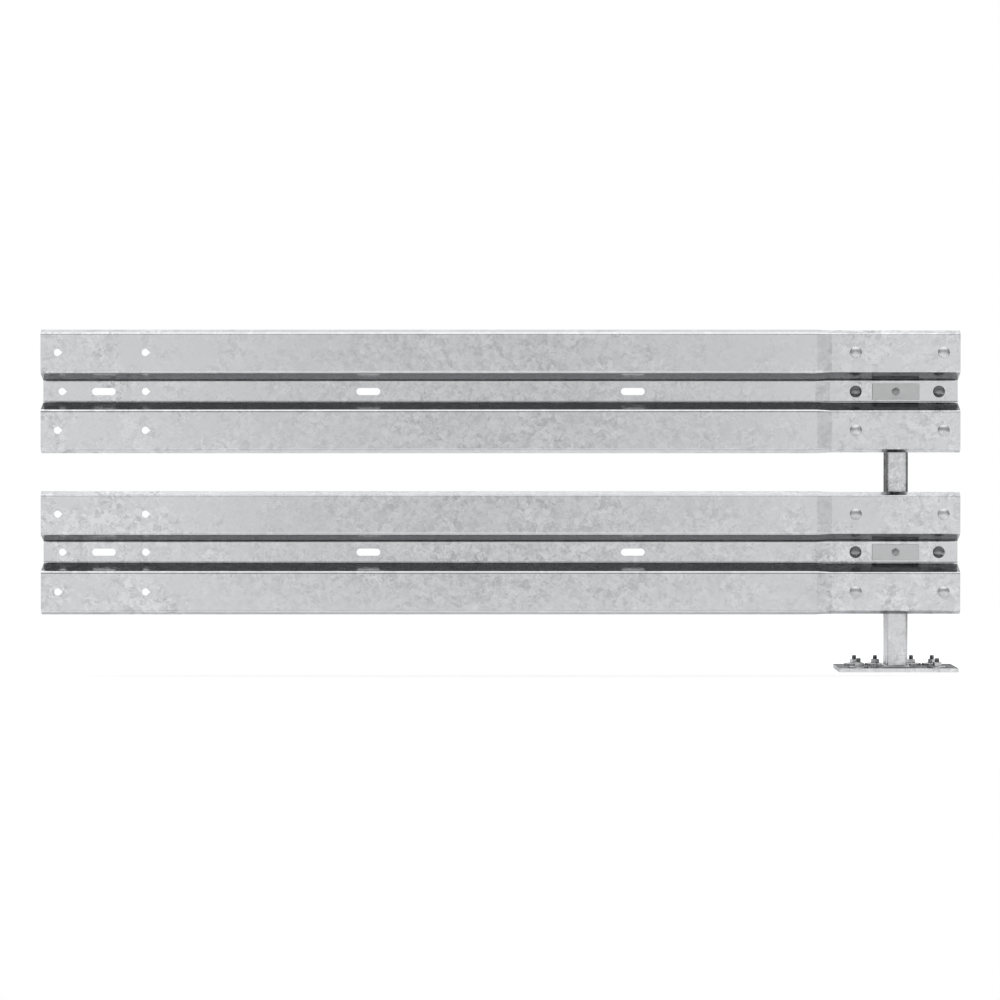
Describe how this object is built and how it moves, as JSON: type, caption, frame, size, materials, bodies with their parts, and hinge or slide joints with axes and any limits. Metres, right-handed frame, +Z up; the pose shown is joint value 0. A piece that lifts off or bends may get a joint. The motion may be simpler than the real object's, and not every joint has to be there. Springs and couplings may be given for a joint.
{
  "type": "highway guardrail section",
  "caption": "One bay of a double-rail steel road guardrail: W-profile rails with a joggled splice end, bolted to a sigma post on an anchored foot plate.",
  "frame": {"origin": "middle of the foot plate's underside, on the post's axis, at ground level", "axes": "+X along the rails towards the joggled end, -Y towards the traffic, +Z up"},
  "size_m": [2.304, 0.259, 0.86],
  "materials": {
    "galvanised_rail": "hot-dip galvanised, spangled",
    "galvanised_post": "hot-dip galvanised, spangled",
    "galvanised_plate": "hot-dip galvanised",
    "weld": "galvanised over a fillet weld",
    "strap": "dull galvanised",
    "bolt_steel": "dull galvanised",
    "anchor_steel": "dull galvanised"
  },
  "bodies": {
    "root": {"lower_rail": "galvanised_rail", "upper_rail": "galvanised_rail", "post": "galvanised_post", "base_plate": "galvanised_plate", "foot_weld": "weld", "lower_cover_strap": "strap", "upper_cover_strap": "strap", "lower_post_bolt": "bolt_steel", "lower_post_nut": "bolt_steel", "upper_post_bolt": "bolt_steel", "upper_post_nut": "bolt_steel", "lower_splice_bolt_1": "bolt_steel", "lower_splice_bolt_2": "bolt_steel", "lower_splice_bolt_3": "bolt_steel", "lower_splice_bolt_4": "bolt_steel", "lower_splice_bolt_5": "bolt_steel", "lower_splice_bolt_6": "bolt_steel", "lower_splice_nut_1": "bolt_steel", "lower_splice_nut_2": "bolt_steel", "lower_splice_nut_3": "bolt_steel", "lower_splice_nut_4": "bolt_steel", "lower_splice_nut_5": "bolt_steel", "lower_splice_nut_6": "bolt_steel", "upper_splice_bolt_1": "bolt_steel", "upper_splice_bolt_2": "bolt_steel", "upper_splice_bolt_3": "bolt_steel", "upper_splice_bolt_4": "bolt_steel", "upper_splice_bolt_5": "bolt_steel", "upper_splice_bolt_6": "bolt_steel", "upper_splice_nut_1": "bolt_steel", "upper_splice_nut_2": "bolt_steel", "upper_splice_nut_3": "bolt_steel", "upper_splice_nut_4": "bolt_steel", "upper_splice_nut_5": "bolt_steel", "upper_splice_nut_6": "bolt_steel", "anchor_nuts": "anchor_steel", "anchor_washers": "anchor_steel", "anchor_stud_1": "anchor_steel", "anchor_stud_2": "anchor_steel", "anchor_stud_3": "anchor_steel", "anchor_stud_4": "anchor_steel", "anchor_stud_5": "anchor_steel", "anchor_stud_6": "anchor_steel"}
  },
  "joints": []
}
